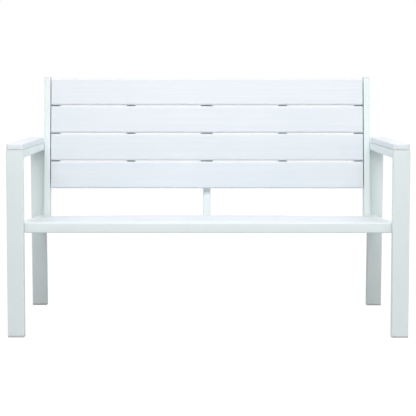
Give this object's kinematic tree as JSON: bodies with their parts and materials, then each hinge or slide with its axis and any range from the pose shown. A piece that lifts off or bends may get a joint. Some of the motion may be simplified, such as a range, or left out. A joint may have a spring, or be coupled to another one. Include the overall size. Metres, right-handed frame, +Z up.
{
  "type": "garden bench",
  "caption": "Two-seat garden bench with a tubular steel frame, wood-grained plastic slats on seat, back and arms, and open sides.",
  "frame": {"origin": "middle of the bench's footprint, on the ground", "axes": "+Z up, +X along the seat, and the sitter faces -Y. A node name's left is -X and its right is +X, as seen from in front"},
  "size_m": [1.205, 0.498, 0.788],
  "materials": {
    "powder_coated_steel": "satin white powder coat with a fine orange peel",
    "slat_plastic": "matt white moulded plastic with an embossed wood grain",
    "cap_plastic": "matt pale grey moulded plastic",
    "zinc_steel": "bright zinc plate"
  },
  "bodies": {
    "root": {"front_leg_left": "powder_coated_steel", "rear_leg_left": "powder_coated_steel", "arm_rail_left": "powder_coated_steel", "seat_side_rail_left": "powder_coated_steel", "seat_bearer_end_left": "powder_coated_steel", "seat_bearer_quarter_left": "powder_coated_steel", "back_upright_left": "powder_coated_steel", "back_batten_end_left": "powder_coated_steel", "back_batten_quarter_left": "powder_coated_steel", "front_leg_right": "powder_coated_steel", "rear_leg_right": "powder_coated_steel", "arm_rail_right": "powder_coated_steel", "seat_side_rail_right": "powder_coated_steel", "seat_bearer_end_right": "powder_coated_steel", "seat_bearer_quarter_right": "powder_coated_steel", "back_upright_right": "powder_coated_steel", "back_batten_end_right": "powder_coated_steel", "back_batten_quarter_right": "powder_coated_steel", "seat_front_rail": "powder_coated_steel", "seat_rear_rail": "powder_coated_steel", "seat_bearer_centre": "powder_coated_steel", "back_batten_centre": "powder_coated_steel", "back_centre_post": "powder_coated_steel", "arm_slat_left": "slat_plastic", "arm_slat_right": "slat_plastic", "seat_slat_1": "slat_plastic", "seat_slat_2": "slat_plastic", "seat_slat_3": "slat_plastic", "seat_slat_4": "slat_plastic", "back_slat_1": "slat_plastic", "back_slat_2": "slat_plastic", "back_slat_3": "slat_plastic", "back_slat_4": "slat_plastic", "front_foot_cap_left": "cap_plastic", "rear_foot_cap_left": "cap_plastic", "upright_top_cap_left": "cap_plastic", "upright_bottom_cap_left": "cap_plastic", "front_foot_cap_right": "cap_plastic", "rear_foot_cap_right": "cap_plastic", "upright_top_cap_right": "cap_plastic", "upright_bottom_cap_right": "cap_plastic", "post_top_cap": "cap_plastic", "post_bottom_cap": "cap_plastic", "arm_screw_front_left": "zinc_steel", "arm_screw_rear_left": "zinc_steel", "front_rail_bolt_left": "zinc_steel", "front_rail_nut_left": "zinc_steel", "lower_back_bolt_left": "zinc_steel", "lower_back_nut_left": "zinc_steel", "upper_back_bolt_left": "zinc_steel", "upper_back_nut_left": "zinc_steel", "arm_screw_front_right": "zinc_steel", "arm_screw_rear_right": "zinc_steel", "front_rail_bolt_right": "zinc_steel", "front_rail_nut_right": "zinc_steel", "lower_back_bolt_right": "zinc_steel", "lower_back_nut_right": "zinc_steel", "upper_back_bolt_right": "zinc_steel", "upper_back_nut_right": "zinc_steel"}
  },
  "joints": []
}
